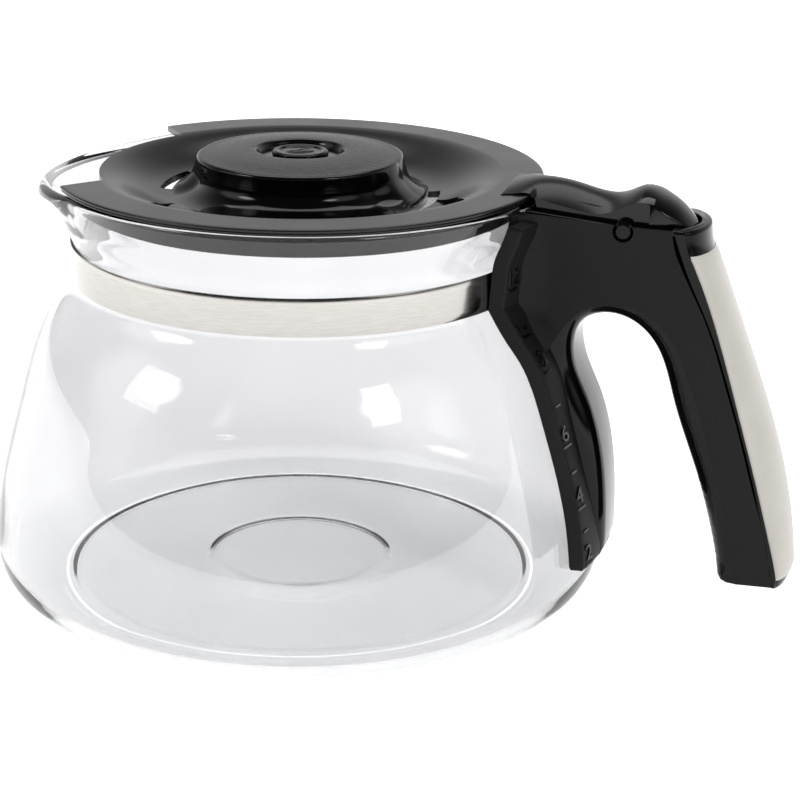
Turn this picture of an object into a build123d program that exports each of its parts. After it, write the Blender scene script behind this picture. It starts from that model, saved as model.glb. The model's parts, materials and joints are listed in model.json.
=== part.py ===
from build123d import *
import os
from math import cos, radians, sin

# Glass coffee jug with a hinged lid. Millimetres, +Z up.
# The origin is on the jug's axis in the plane that it stands on.
# The handle is towards +X and the spout towards -X.

# ---- driving dimensions -------------------------------------------------
body_r = 77.5
body_r_z = 12.5
wall = 2.0
neck_r = 56.2
neck_z = 80.2
neck_top_z = 89.5
rim_r = 59.5
rim_z = 104.3
stand_r = 61.5
stand_inner_r = 58.5
panel_z = 1.2
punt_r = 23.0
punt_z = 2.6

# Side wall: radius, height and lean of the outward normal in degrees.
side_stations = [
    (body_r, body_r_z, 0.0),
    (75.7, 27.5, 9.5),
    (69.7, 50.9, 19.0),
    (59.7, 74.2, 25.0),
    (neck_r, neck_z, 0.0),
]

# Spout: a shallow funnel turned about an axis parallel to the jug's.
spout_offset = 18.0
spout_r = 47.5
spout_crest_z = 102.5

band_z = 80.5
band_height = 9.0
band_thickness = 0.5
band_r = neck_r + 0.1
ear_gap = 5.0
ear_x = 68.4
band_opening = 6.0
clamp_x = 64.6
clamp_z = band_z + band_height / 2
barrel_r = 3.0
barrel_half = 5.0
clamp_screw_r = 2.0
clamp_screw_reach = 4.0
clamp_head_r = 3.5
clamp_head_height = 2.4
clamp_cross = (4.6, 0.9, 1.3)
rib_x = 69.6
rib_thickness = 2.6
rib_height = 12.5
ear_clearance = 0.6

handle_half = 12.0
channel_half = 9.5
flange_gap = 0.2
flange_thickness = 3.4
flange_bottom = 12.5
flange_top = 101.2
gap_round = 4.5
inlay_half = 11.8
inlay_proud = 0.5
inlay_thickness = 1.6
inlay_round = 1.2

# Outer face of the handle's inlay: x, z and lean of the outward normal.
spine_stations = [
    (127.3, 13.0, 5.0),
    (125.4, 28.3, 10.0),
    (121.8, 44.4, 16.0),
    (112.7, 69.9, 21.5),
    (102.8, 94.9, 21.5),
]
parting = [(124.0, 14.6), (120.9, 33.6), (112.3, 62.0), (101.8, 85.0), (94.9, 98.9)]
boss_top = 4.6
boss_r = 3.2
boss_height = 9.0
boss_hole_depth = 7.5
spine_screw_r = 1.4
spine_screw_head_r = 2.6
spine_screw_head_depth = 1.75
spine_screw_length = 9.0
spine_cross = (3.0, 0.6, 0.7)
countersink_angle = 84.0
screw_clearance = 0.2
edge_chamfer = 0.5
spine_screw_x_z_lean = {"upper": (104.9, 77.9, 23.0), "lower": (119.6, 38.6, 14.5)}

pin_x = 82.1
pin_z = 99.6
pin_r = 2.4
pin_running_gap = 0.05
pin_length = 24.0
pin_chamfer = 0.8

lid_r = 59.85
lid_z = 106.1
lid_thickness = 1.5
lid_flat_r = 50.0
lid_floor_r = 33.0
lid_floor_z = 100.5
pocket_r = 49.3
pocket_tip_angle = -21.0
pocket_middle_angle = -69.0
pocket_end_angle = -117.0
pocket_cut_height = 8.0
notch_r = 49.0
notch_inner_angle = 33.2
notch_outer_angle = 36.3
collar_r = 54.0
collar_z = 98.5
slot_r = 33.0
slot_width = 3.0
slot_half_angle = 16.0

knob_r = 25.5
knob_half_y = 20.5
knob_edge_z = 109.6
knob_crown_z = 111.0
knob_foot_r = 27.5
knob_recess_z = 109.4
wing_half = 8.5
badge_r = 6.9
badge_height = 1.3
badge_rim = 1.6
badge_sink = 0.4
badge_recess_r = 11.0

lever_half = 9.0
lever_wing_half = 11.4
lever_front_x = 52.6
lever_nose_x = 98.2
lever_inner_half = 7.1
tongue_half = 6.9
lever_screw_r = 1.2
lever_screw_head_r = 2.2
lever_screw_head_height = 1.5
lever_screw_reach = 3.0
lever_cross = (2.8, 0.6, 0.8)
lever_wing_thickness = 0.7
lever_screw_x_seat = {"front": (67.5, 103.9), "rear": (74.5, 102.4)}


def offset_stations(stations, distance):
    """The stations moved outwards along their normals."""
    moved = []
    for across, up, lean in stations:
        a = radians(lean)
        moved.append((across + distance * cos(a), up + distance * sin(a)))
    return moved


def arc_point(radius, degrees_from_x, centre_x=0.0):
    """A point in plan on a circle about (centre_x, 0)."""
    a = radians(degrees_from_x)
    return (centre_x + radius * cos(a), radius * sin(a))


def export(node, name):
    """Labels a finished piece and writes it to its own STEP."""
    node.part.label = name
    export_step(node.part, f"parts/{name}.step")


def cross_recess(size):
    """The outline of a cross recess in the open sketch: size is its length, width and depth."""
    length, width, _ = size
    Rectangle(length, width)
    Rectangle(width, length)


def across(half_width):
    """The XZ plane on the +Y side, so that an extrusion of twice half_width is centred."""
    return Plane.XZ.offset(-half_width)


os.makedirs("parts", exist_ok=True)

outer_side = offset_stations(side_stations, 0.0)
inner_side = offset_stations(side_stations, -wall)

# ---- glass jug ----------------------------------------------------------
with BuildPart() as glass_jug:
    # solid of the outside, with a punt and a standing ring under it
    with BuildSketch(Plane.XZ):
        with BuildLine():
            Polyline(
                (0, rim_z),
                (0, punt_z),
                (punt_r - 1, punt_z),
                (punt_r + 1, panel_z),
                (stand_inner_r - 2, panel_z),
                (stand_inner_r, 0),
                (stand_r, 0),
            )
            Spline(
                (stand_r, 0),
                (71.6, 2.6),
                (76.3, 6.9),
                (body_r, body_r_z),
                tangents=((1, 0), (0, 1)),
            )
            Spline(*outer_side, tangents=((0, 1), (0, 1)))
            Line((neck_r, neck_z), (neck_r, neck_top_z))
            Spline(
                (neck_r, neck_top_z),
                (57.6, 95.0),
                (59.3, 100.0),
                (rim_r, 103.3),
                tangents=((0, 1), (0, 1)),
            )
            ThreePointArc((rim_r, 103.3), (rim_r - 0.3, 104.0), (rim_r - 1.0, rim_z))
            Line((rim_r - 1.0, rim_z), (0, rim_z))
        make_face()
    revolve(axis=Axis.Z)
    # pouring lip, rolled outwards and down
    with BuildSketch(Plane.XZ):
        with BuildLine():
            Polyline(
                (-spout_offset, spout_crest_z),
                (-spout_offset, 88.0),
                (-spout_offset - 38.0, 88.0),
            )
            Spline(
                (-spout_offset - 38.0, 88.0),
                (-spout_offset - 39.6, 93.0),
                (-spout_offset - 42.4, 98.2),
                (-spout_offset - 45.0, 100.2),
                (-spout_offset - 46.4, 99.4),
            )
            ThreePointArc(
                (-spout_offset - 46.4, 99.4),
                (-spout_offset - 47.3, 99.2),
                (-spout_offset - spout_r, 100.0),
            )
            Spline(
                (-spout_offset - spout_r, 100.0),
                (-spout_offset - 46.9, 101.6),
                (-spout_offset - 45.2, spout_crest_z),
                tangents=((0, 1), (1, 0)),
            )
            Line((-spout_offset - 45.2, spout_crest_z), (-spout_offset, spout_crest_z))
        make_face()
    revolve(axis=Axis((-spout_offset, 0, 0), (0, 0, 1)))
    # the rim dips towards the lip
    with BuildSketch(Plane.YZ.offset(-spout_offset - spout_r - 4)):
        with BuildLine():
            Spline(
                (-46, rim_z),
                (-34, 103.2),
                (-20, 102.9),
                (0, 102.8),
                (20, 102.9),
                (34, 103.2),
                (46, rim_z),
            )
            Polyline((46, rim_z), (46, rim_z + 3), (-46, rim_z + 3), (-46, rim_z))
        make_face()
    extrude(amount=30, mode=Mode.SUBTRACT)
    # inside of the jug
    with BuildSketch(Plane.XZ):
        with BuildLine():
            Polyline(
                (0, rim_z + 4),
                (0, punt_z + wall),
                (punt_r, punt_z + wall),
                (punt_r + 2, panel_z + wall),
                (stand_r, panel_z + wall - 0.6),
            )
            Spline(
                (stand_r, panel_z + wall - 0.6),
                (70.8, 4.7),
                (74.4, 8.0),
                (body_r - wall, body_r_z),
                tangents=((1, 0), (0, 1)),
            )
            Spline(*inner_side, tangents=((0, 1), (0, 1)))
            Line((neck_r - wall, neck_z), (neck_r - wall, neck_top_z))
            Spline(
                (neck_r - wall, neck_top_z),
                (55.7, 95.4),
                (57.3, 100.2),
                (57.6, 103.0),
                tangents=((0, 1), (0, 1)),
            )
            Polyline((57.6, 103.0), (57.6, rim_z + 4), (0, rim_z + 4))
        make_face()
    revolve(axis=Axis.Z, mode=Mode.SUBTRACT)
    # inside of the spout funnel
    with BuildSketch(Plane.XZ):
        with BuildLine():
            Polyline(
                (-spout_offset, rim_z + 4),
                (-spout_offset, 89.0),
                (-spout_offset - 35.8, 89.0),
            )
            Spline(
                (-spout_offset - 35.8, 89.0),
                (-spout_offset - 37.6, 93.8),
                (-spout_offset - 40.6, 99.2),
                (-spout_offset - 43.4, 101.9),
                (-spout_offset - 44.9, spout_crest_z + 0.1),
            )
            Polyline(
                (-spout_offset - 44.9, spout_crest_z + 0.1),
                (-spout_offset - 44.9, rim_z + 4),
                (-spout_offset, rim_z + 4),
            )
        make_face()
    revolve(axis=Axis((-spout_offset, 0, 0), (0, 0, 1)), mode=Mode.SUBTRACT)
export(glass_jug, "glass_jug")

# ---- neck band, with two ears bent out into the handle ------------------
with BuildPart() as neck_band:
    with BuildSketch(Plane.XY.offset(band_z)):
        Circle(band_r + band_thickness)
        Circle(band_r, mode=Mode.SUBTRACT)
        with Locations((band_r, 0)):
            Rectangle(band_opening, ear_gap, mode=Mode.SUBTRACT)
        for side in (-1, 1):
            with Locations(((band_r + ear_x) / 2, side * (ear_gap + band_thickness) / 2)):
                Rectangle(ear_x - band_r, band_thickness)
    extrude(amount=band_height)
    with BuildSketch(across(2 * barrel_half)):
        with Locations((clamp_x, clamp_z)):
            Circle(barrel_r + pin_running_gap)
    extrude(amount=4 * barrel_half, mode=Mode.SUBTRACT)
export(neck_band, "neck_band")

with BuildPart() as barrel_nut:
    with BuildSketch(across(barrel_half)):
        with Locations((clamp_x, clamp_z)):
            Circle(barrel_r)
    extrude(amount=2 * barrel_half)
    with BuildSketch(Plane.YZ.offset(clamp_x)):
        with Locations((0, clamp_z)):
            Circle(clamp_screw_r)
    extrude(amount=2 * barrel_r, both=True, mode=Mode.SUBTRACT)
export(barrel_nut, "barrel_nut")

clamp_head_x = rib_x + rib_thickness
with BuildPart() as band_screw:
    with BuildSketch(Plane.YZ.offset(clamp_head_x)):
        with Locations((0, clamp_z)):
            Circle(clamp_head_r)
    extrude(amount=clamp_head_height)
    chamfer(band_screw.edges().group_by(Axis.X)[-1], edge_chamfer)
    with BuildSketch(Plane.YZ.offset(clamp_head_x + clamp_head_height)):
        with Locations((0, clamp_z)):
            cross_recess(clamp_cross)
    extrude(amount=-clamp_cross[2], mode=Mode.SUBTRACT)
    with BuildSketch(Plane.YZ.offset(clamp_head_x)):
        with Locations((0, clamp_z)):
            Circle(clamp_screw_r)
    extrude(amount=-(clamp_head_x - clamp_x + clamp_screw_reach))
export(band_screw, "band_screw")

# ---- handle shell -------------------------------------------------------
# Inner edge of the finger gap, from the leg's foot over to the grip's foot.
finger_gap_edge = [
    (81.6, 17.0),
    (80.8, 37.0),
    (76.4, 54.6),
    (71.4, 67.2),
    (73.4, 74.7),
    (81.2, 76.6),
    (89.4, 71.6),
    (95.5, 58.8),
    (101.9, 40.0),
    (108.3, 13.2),
]
jug_envelope_r = neck_r + 0.8
flange_neck_r = jug_envelope_r + flange_thickness


def spine_plane(name):
    """The plane of a spine screw, its normal pointing out of the handle's back."""
    x, z, lean = spine_screw_x_z_lean[name]
    a = radians(lean)
    return Plane(origin=(x, 0, z), x_dir=(0, 1, 0), z_dir=(cos(a), 0, sin(a)))


with BuildPart() as flange_blank:
    # the wrap-around flange as a full ring, then cut to its outline seen from behind
    flange_outer = offset_stations(side_stations, flange_thickness)[:-1]
    with BuildSketch(Plane.XZ):
        with BuildLine():
            Spline(*flange_outer, (flange_neck_r, band_z), tangents=((0, 1), (0, 1)))
            Polyline(
                (flange_neck_r, band_z),
                (flange_neck_r, 92.0),
                (62.9, flange_top),
                (40, flange_top),
                (40, body_r_z),
                flange_outer[0],
            )
        make_face()
    revolve(axis=Axis.Z)
    with BuildSketch(Plane.YZ.offset(neck_r - 10)):
        with BuildLine():
            Polyline(
                (-19.4, flange_bottom),
                (-18.8, 50),
                (-19.2, 73),
                (-21.2, 80),
                (-21.2, 99.5),
                (-19.5, flange_top + 1),
                (19.5, flange_top + 1),
                (21.2, 99.5),
                (21.2, 80),
                (19.2, 73),
                (18.8, 50),
                (19.4, flange_bottom),
                (-19.4, flange_bottom),
            )
        make_face()
    extrude(amount=50, mode=Mode.INTERSECT)

with BuildPart() as jug_envelope:
    # room for the glass and its band inside the handle's flange
    envelope_side = offset_stations(side_stations, flange_gap)[:-1]
    with BuildSketch(Plane.XZ):
        with BuildLine():
            Polyline((0, 0), (body_r + flange_gap, 0), envelope_side[0])
            Spline(*envelope_side, (jug_envelope_r, 79.6), tangents=((0, 1), (0, 1)))
            Polyline(
                (jug_envelope_r, 79.6),
                (jug_envelope_r, 91.0),
                (rim_r + 0.4, 100.6),
                (rim_r + 0.4, rim_z + 4),
                (0, rim_z + 4),
                (0, 0),
            )
        make_face()
    revolve(axis=Axis.Z)

with BuildPart() as handle_shell:
    # web and grip, an inverted U seen from the side
    with BuildSketch(across(handle_half)):
        with BuildLine():
            Polyline((64, flange_bottom), (79.4, flange_bottom), finger_gap_edge[0])
            Spline(*finger_gap_edge, tangents=((0, 1), (0.2, -1)))
            Line(finger_gap_edge[-1], parting[0])
            Spline(*parting)
            Polyline(
                parting[-1],
                (80.0, 101.0),
                (58.9, 102.9),
                (50, 102.9),
                (50, 70),
                (64, flange_bottom),
            )
        make_face()
    extrude(amount=2 * handle_half)
    # the finger gap's two edges are the longest
    fillet(handle_shell.edges().sort_by(SortBy.LENGTH)[-2:], gap_round)
    add(flange_blank.part)
    add(jug_envelope.part, mode=Mode.SUBTRACT)
    # open-topped channel for the lever, running down inside the grip
    with BuildSketch(across(channel_half)):
        with BuildLine():
            Polyline((84.0, 80.6), (60.6, 80.6), (60.6, 110), (110, 110))
            Polyline((110, 110), (116, 85), (127, 50), (130, 16.0), (111.2, 16.0))
            Spline(
                (111.2, 16.0),
                (104.9, 41.0),
                (98.4, 60.2),
                (91.6, 75.0),
                (84.0, 80.6),
            )
        make_face()
    extrude(amount=2 * channel_half, mode=Mode.SUBTRACT)
    # rib that takes the pull of the clamp screw
    with BuildSketch(Plane.YZ.offset(rib_x)):
        with Locations((0, clamp_z)):
            Rectangle(2 * channel_half + 1, rib_height)
            Circle(clamp_screw_r + screw_clearance, mode=Mode.SUBTRACT)
    extrude(amount=rib_thickness)
    # way in for the band's ears
    with BuildSketch(Plane.YZ.offset(50)):
        with Locations((0, clamp_z)):
            Rectangle(
                ear_gap + 2 * band_thickness + 2 * ear_clearance,
                band_height + 2 * ear_clearance,
            )
    extrude(amount=2 * band_opening, mode=Mode.SUBTRACT)
    # screw bosses inside the grip
    for name in spine_screw_x_z_lean:
        with BuildSketch(spine_plane(name).offset(-boss_top)):
            Circle(boss_r)
        extrude(amount=-boss_height)
        with BuildSketch(spine_plane(name).offset(-boss_top)):
            Circle(spine_screw_r)
        extrude(amount=-boss_hole_depth, mode=Mode.SUBTRACT)
    # open-topped sockets that the hinge pin snaps into
    with BuildSketch(across(handle_half + 1)):
        with Locations((pin_x, pin_z)):
            Circle(pin_r + pin_running_gap)
    extrude(amount=2 * (handle_half + 1), mode=Mode.SUBTRACT)
export(handle_shell, "handle_shell")

# ---- handle spine, the cover over the grip's back -----------------------
spine_face = offset_stations(spine_stations, -inlay_proud)
pocket_floor = offset_stations(spine_stations, -inlay_thickness)
inlay_face = offset_stations(spine_stations, 0.0)
nose_swing_r = 16.8
hood_top = [(101.9, 98.0), (100.9, 99.8), (99.3, 100.4)]

with BuildPart() as handle_spine:
    with BuildSketch(across(handle_half)):
        with BuildLine():
            Line(parting[0], spine_face[0])
            Spline(*spine_face)
            Spline(spine_face[-1], *hood_top)
            Polyline(hood_top[-1], (98.9, 99.8), (98.9, 99.0), parting[-1])
            Spline(*parting)
        make_face()
    extrude(amount=2 * handle_half)
    # seat for the inlay, open at both sides
    with BuildSketch(across(handle_half + 1)):
        with BuildLine():
            Spline(*pocket_floor)
            Polyline(pocket_floor[-1], (110, 98), (132, 50), (132, 12.0), pocket_floor[0])
        make_face()
    extrude(amount=2 * (handle_half + 1), mode=Mode.SUBTRACT)
    # the lever's nose swings down past the inside of the hood
    with BuildSketch(across(channel_half)):
        with Locations((pin_x, pin_z)):
            Circle(nose_swing_r)
    extrude(amount=2 * channel_half, mode=Mode.SUBTRACT)
    for name in spine_screw_x_z_lean:
        with Locations(spine_plane(name).offset(-inlay_thickness)):
            CounterSinkHole(
                radius=spine_screw_r + screw_clearance / 2,
                counter_sink_radius=spine_screw_head_r + screw_clearance / 2,
                depth=boss_height,
            )
export(handle_spine, "handle_spine")

# ---- inlay along the handle's back --------------------------------------
with BuildPart() as handle_inlay:
    with BuildSketch(across(inlay_half)):
        with BuildLine():
            Spline(*inlay_face)
            Line(inlay_face[-1], pocket_floor[-1])
            Spline(*pocket_floor)
            Line(pocket_floor[0], inlay_face[0])
        make_face()
    extrude(amount=2 * inlay_half)
    # the two long outer edges are rounded
    long_edges = handle_inlay.edges().sort_by(SortBy.LENGTH)[-4:].sort_by(Axis.X)
    fillet(long_edges[-2:], inlay_round)
export(handle_inlay, "handle_inlay")

# ---- screws that hold the spine, hidden under the inlay -----------------
for name in spine_screw_x_z_lean:
    with BuildPart() as spine_screw:
        with BuildSketch(spine_plane(name).offset(-spine_screw_head_depth)):
            Circle(spine_screw_head_r)
        extrude(amount=spine_screw_r - spine_screw_head_r, taper=countersink_angle / 2)
        with BuildSketch(spine_plane(name).offset(-spine_screw_head_depth)):
            Circle(spine_screw_r)
        extrude(amount=-spine_screw_length)
        with BuildSketch(spine_plane(name).offset(-spine_screw_head_depth)):
            cross_recess(spine_cross)
        extrude(amount=-spine_cross[2], mode=Mode.SUBTRACT)
    export(spine_screw, f"spine_screw_{name}")

# ---- lid disc -----------------------------------------------------------
with BuildSketch() as pocket_plan:
    # crescent finger pocket beside the knob, from the inlet round towards the spout
    with BuildLine():
        tip = arc_point(pocket_r, pocket_tip_angle)
        end = arc_point(pocket_r, pocket_end_angle)
        ThreePointArc(tip, arc_point(pocket_r, pocket_middle_angle), end)
        Spline(end, (-23.4, -37.3), (-25.6, -26.6), (-25.0, -21.5))
        Polyline((-25.0, -21.5), (0, -10), (33.5, 0))
        Spline((33.5, 0), (39.8, -3.5), (42.4, -9.0), tip)
    make_face()

with BuildPart() as pocket_cup:
    # the pocket's underside, one thickness bigger all round
    with BuildSketch(Plane.XY.offset(lid_floor_z - lid_thickness)):
        with BuildLine():
            cup_r = pocket_r + lid_thickness
            cup_tip = arc_point(cup_r, pocket_tip_angle + 2)
            cup_end = arc_point(cup_r, pocket_end_angle - 2)
            ThreePointArc(cup_tip, arc_point(cup_r, pocket_middle_angle), cup_end)
            Polyline(cup_end, (-25.0, -37.3), (-27.4, -26.6), (-26.5, -20.0), (0, -8), (33.5, 2.0))
            Polyline((33.5, 2.0), (41.0, -2.4), (44.2, -8.5), cup_tip)
        make_face()
    extrude(amount=pocket_cut_height)

with BuildPart() as lid_underside:
    # space under the dish, left out where the pocket reaches down
    with BuildSketch(Plane.XZ):
        with BuildLine():
            Polyline(
                (0, 90),
                (0, lid_floor_z - lid_thickness),
                (lid_floor_r + 0.6, lid_floor_z - lid_thickness),
            )
            Spline(
                (lid_floor_r + 0.6, lid_floor_z - lid_thickness),
                (43.5, 102.6),
                (lid_flat_r + 0.5, lid_z - lid_thickness),
                tangents=((1, 0.15), (1, 0.1)),
            )
            Polyline(
                (lid_flat_r + 0.5, lid_z - lid_thickness),
                (lid_r + 2, lid_z - lid_thickness),
                (lid_r + 2, 90),
                (0, 90),
            )
        make_face()
    revolve(axis=Axis.Z)
    add(pocket_cup.part, mode=Mode.SUBTRACT)

tongue_top = [(56.0, 106.1), (62.0, 106.1), (80.0, 103.5)]
with BuildPart() as lid_disc:
    with BuildSketch(Plane.XZ):
        with BuildLine():
            Polyline((0, 90), (0, lid_floor_z), (lid_floor_r, lid_floor_z))
            Spline(
                (lid_floor_r, lid_floor_z),
                (43.0, 104.2),
                (lid_flat_r, lid_z),
                tangents=((1, 0.15), (1, 0.1)),
            )
            Polyline((lid_flat_r, lid_z), (lid_r, lid_z), (lid_r, 90), (0, 90))
        make_face()
    revolve(axis=Axis.Z)
    add(lid_underside.part, mode=Mode.SUBTRACT)
    # finger pocket with a crisp outer step
    with BuildSketch(Plane.XY.offset(lid_floor_z)):
        add(pocket_plan.sketch)
    extrude(amount=pocket_cut_height, mode=Mode.SUBTRACT)
    # notch over the spout
    with BuildSketch(Plane.XY.offset(lid_z - 10)):
        with BuildLine():
            inner_a = arc_point(notch_r, 180 - notch_inner_angle)
            inner_b = arc_point(notch_r, 180 + notch_inner_angle)
            outer_a = arc_point(lid_r + 4, 180 - notch_outer_angle - 1.2)
            outer_b = arc_point(lid_r + 4, 180 + notch_outer_angle + 1.2)
            ThreePointArc(inner_a, (-notch_r, 0), inner_b)
            Polyline(inner_b, outer_b, (-80, outer_b[1]), (-80, outer_a[1]), outer_a, inner_a)
        make_face()
    extrude(amount=20, mode=Mode.SUBTRACT)
    # inlets beside the knob, where the coffee runs in
    for middle in (0, 180):
        with BuildSketch(Plane.XY.offset(lid_floor_z - 4)):
            with BuildLine():
                near = slot_r - slot_width / 2
                far = slot_r + slot_width / 2
                low = middle - slot_half_angle
                high = middle + slot_half_angle
                ThreePointArc(arc_point(near, low), arc_point(near, middle), arc_point(near, high))
                ThreePointArc(arc_point(near, high), arc_point(slot_r, high + 2.4), arc_point(far, high))
                ThreePointArc(arc_point(far, high), arc_point(far, middle), arc_point(far, low))
                ThreePointArc(arc_point(far, low), arc_point(slot_r, low - 2.4), arc_point(near, low))
            make_face()
        extrude(amount=10, mode=Mode.SUBTRACT)
    # hinge tongue under the lever
    with BuildSketch(across(tongue_half)):
        with BuildLine():
            Polyline(
                (pin_x + 3.0, 101.6),
                tongue_top[2],
                tongue_top[1],
                tongue_top[0],
                (56.0, lid_z - lid_thickness),
                (62.4, lid_z - lid_thickness),
                (pin_x - 2.6, 97.1),
            )
            ThreePointArc((pin_x - 2.6, 97.1), (pin_x + 0.9, 96.1), (pin_x + 3.0, 101.6))
        make_face()
    extrude(amount=2 * tongue_half)
    with BuildSketch(across(tongue_half + 1)):
        with Locations((pin_x, pin_z)):
            Circle(pin_r)
    extrude(amount=2 * (tongue_half + 1), mode=Mode.SUBTRACT)
    # lever screws come up from below
    for x, seat in lever_screw_x_seat.values():
        with BuildSketch(Plane.XY.offset(seat)):
            with Locations((x, 0)):
                Circle(lever_screw_head_r + screw_clearance)
        extrude(amount=lid_floor_z - lid_z - lever_screw_reach, mode=Mode.SUBTRACT)
        with BuildSketch(Plane.XY.offset(seat)):
            with Locations((x, 0)):
                Circle(lever_screw_r)
        extrude(amount=2 * lever_screw_reach, mode=Mode.SUBTRACT)
export(lid_disc, "lid_disc")

# ---- skirt that centres the lid inside the neck -------------------------
with BuildPart() as lid_collar:
    with BuildSketch(Plane.XZ):
        Polygon(
            (collar_r - 1.4, collar_z),
            (collar_r, collar_z),
            (collar_r, lid_z - lid_thickness),
            (collar_r - 3.0, lid_z - lid_thickness),
            (collar_r - 3.0, lid_z - lid_thickness - 1.2),
            (collar_r - 1.4, lid_z - lid_thickness - 1.2),
            align=None,
        )
    revolve(axis=Axis.Z)
    with BuildSketch(Plane.XY.offset(collar_z - 1)):
        Polygon(
            (0, 0),
            arc_point(80, 180 - notch_inner_angle - 2),
            (-90, 0),
            arc_point(80, 180 + notch_inner_angle + 2),
            align=None,
        )
    extrude(amount=10, mode=Mode.SUBTRACT)
export(lid_collar, "lid_collar")

# ---- knob ---------------------------------------------------------------
with BuildPart() as knob_cavity:
    with BuildSketch(Plane.XZ):
        with BuildLine():
            Polyline((0, 107.3), (0, 99), (20.4, 99), (20.4, 101.2))
            Spline((20.4, 101.2), (18.9, 104.0), (18.4, 107.3))
            Line((18.4, 107.3), (0, 107.3))
        make_face()
    revolve(axis=Axis.Z)

with BuildPart() as lid_knob:
    with BuildSketch(Plane.XZ):
        with BuildLine():
            Polyline((0, lid_floor_z), (knob_foot_r, lid_floor_z))
            Spline(
                (knob_foot_r, lid_floor_z),
                (25.6, 102.2),
                (24.6, 105.4),
                (24.9, 108.0),
                (knob_r, 108.9),
            )
            Line((knob_r, 108.9), (knob_r, knob_edge_z))
            Spline((knob_r, knob_edge_z), (19.0, 110.5), (badge_recess_r, knob_crown_z))
            Polyline(
                (badge_recess_r, knob_crown_z),
                (badge_recess_r - 0.8, knob_recess_z),
                (0, knob_recess_z),
                (0, lid_floor_z),
            )
        make_face()
    revolve(axis=Axis.Z)
    # wings that run down to the inlets
    with BuildSketch(across(wing_half)):
        for side in (-1, 1):
            with BuildLine():
                Polyline(
                    (side * 20, knob_edge_z),
                    (side * 20, lid_floor_z),
                    (side * 31.2, lid_floor_z),
                    (side * 31.2, 101.3),
                )
                Spline(
                    (side * 31.2, 101.3),
                    (side * 28.2, 103.2),
                    (side * 26.4, 106.6),
                    (side * knob_r, knob_edge_z),
                )
                Line((side * knob_r, knob_edge_z), (side * 20, knob_edge_z))
            make_face()
    extrude(amount=2 * wing_half)
    # flanks pinched in between the wings, where the fingers go
    for side in (-1, 1):
        with BuildSketch(Plane.XY.offset(lid_floor_z + 1.5)):
            with BuildLine():
                ThreePointArc((-24.5, side * 8.0), (0, side * knob_half_y), (24.5, side * 8.0))
                Polyline((24.5, side * 8.0), (40, side * 40), (-40, side * 40), (-24.5, side * 8.0))
            make_face()
        extrude(amount=20, mode=Mode.SUBTRACT)
    add(knob_cavity.part, mode=Mode.SUBTRACT)
export(lid_knob, "lid_knob")

with BuildPart() as knob_badge:
    with BuildSketch(Plane.XY.offset(knob_recess_z)):
        Circle(badge_r)
    extrude(amount=badge_height)
    fillet(knob_badge.edges().group_by(Axis.Z)[-1], edge_chamfer)
    with BuildSketch(Plane.XY.offset(knob_recess_z + badge_height)):
        Circle(badge_r - badge_rim)
    extrude(amount=-badge_sink, mode=Mode.SUBTRACT)
export(knob_badge, "knob_badge")

# ---- thumb lever --------------------------------------------------------
with BuildPart() as thumb_lever:
    with BuildSketch(across(lever_half)):
        with BuildLine():
            Spline(
                (lever_front_x, 106.9),
                (60.0, 108.5),
                (68.0, 107.9),
                (76.0, 106.0),
                (80.0, 105.7),
                (85.5, 108.2),
                (92.6, 105.4),
                (97.4, 101.6),
                (lever_nose_x, 99.9),
            )
            Polyline((lever_nose_x, 99.9), (96.4, 99.3), (93.3, 98.9), (90.6, 100.6), (86.4, 97.6))
            ThreePointArc((86.4, 97.6), (pin_x, pin_z - 4.3), (79.0, 96.6))
            Polyline(
                (79.0, 96.6),
                (70.0, 99.6),
                (61.2, 101.0),
                (61.2, lid_z),
                (lever_front_x, lid_z),
                (lever_front_x, 106.9),
            )
        make_face()
    extrude(amount=2 * lever_half)
    # thin wings that lie on the lid and flare towards the front
    with BuildSketch(Plane.XY.offset(lid_z)):
        Polygon(
            (lever_front_x, -lever_wing_half),
            (57.5, -10.2),
            (62.0, -lever_half),
            (62.0, lever_half),
            (57.5, 10.2),
            (lever_front_x, lever_wing_half),
            align=None,
        )
    extrude(amount=lever_wing_thickness)
    # hollow over the tongue
    with BuildSketch(across(lever_inner_half)):
        with BuildLine():
            Polyline(
                (80.0, 103.5),
                (62.0, 106.1),
                (59.0, 106.1),
                (59.0, 90.0),
                (92.0, 90.0),
                (89.5, 103.5),
                (80.0, 103.5),
            )
        make_face()
    extrude(amount=2 * lever_inner_half, mode=Mode.SUBTRACT)
    # crowned top
    top_edges = [
        e
        for e in thumb_lever.edges()
        if e.length > 40 and abs(abs(e.center().Y) - lever_half) < 0.01 and e.center().Z > 103
    ]
    fillet(top_edges, 1.4)
    with BuildSketch(across(lever_half + 1)):
        with Locations((pin_x, pin_z)):
            Circle(pin_r)
    extrude(amount=2 * (lever_half + 1), mode=Mode.SUBTRACT)
    for x, seat in lever_screw_x_seat.values():
        with BuildSketch(Plane.XY.offset(seat)):
            with Locations((x, 0)):
                Circle(lever_screw_r)
        extrude(amount=lever_screw_reach + screw_clearance, mode=Mode.SUBTRACT)
export(thumb_lever, "thumb_lever")

for name, (x, seat) in lever_screw_x_seat.items():
    with BuildPart() as lever_screw:
        with BuildSketch(Plane.XY.offset(seat)):
            with Locations((x, 0)):
                Circle(lever_screw_head_r)
        extrude(amount=-lever_screw_head_height)
        with BuildSketch(Plane.XY.offset(seat)):
            with Locations((x, 0)):
                Circle(lever_screw_r)
        extrude(amount=lever_screw_reach)
        with BuildSketch(Plane.XY.offset(seat - lever_screw_head_height)):
            with Locations((x, 0)):
                cross_recess(lever_cross)
        extrude(amount=lever_cross[2], mode=Mode.SUBTRACT)
    export(lever_screw, f"lever_screw_{name}")

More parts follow.
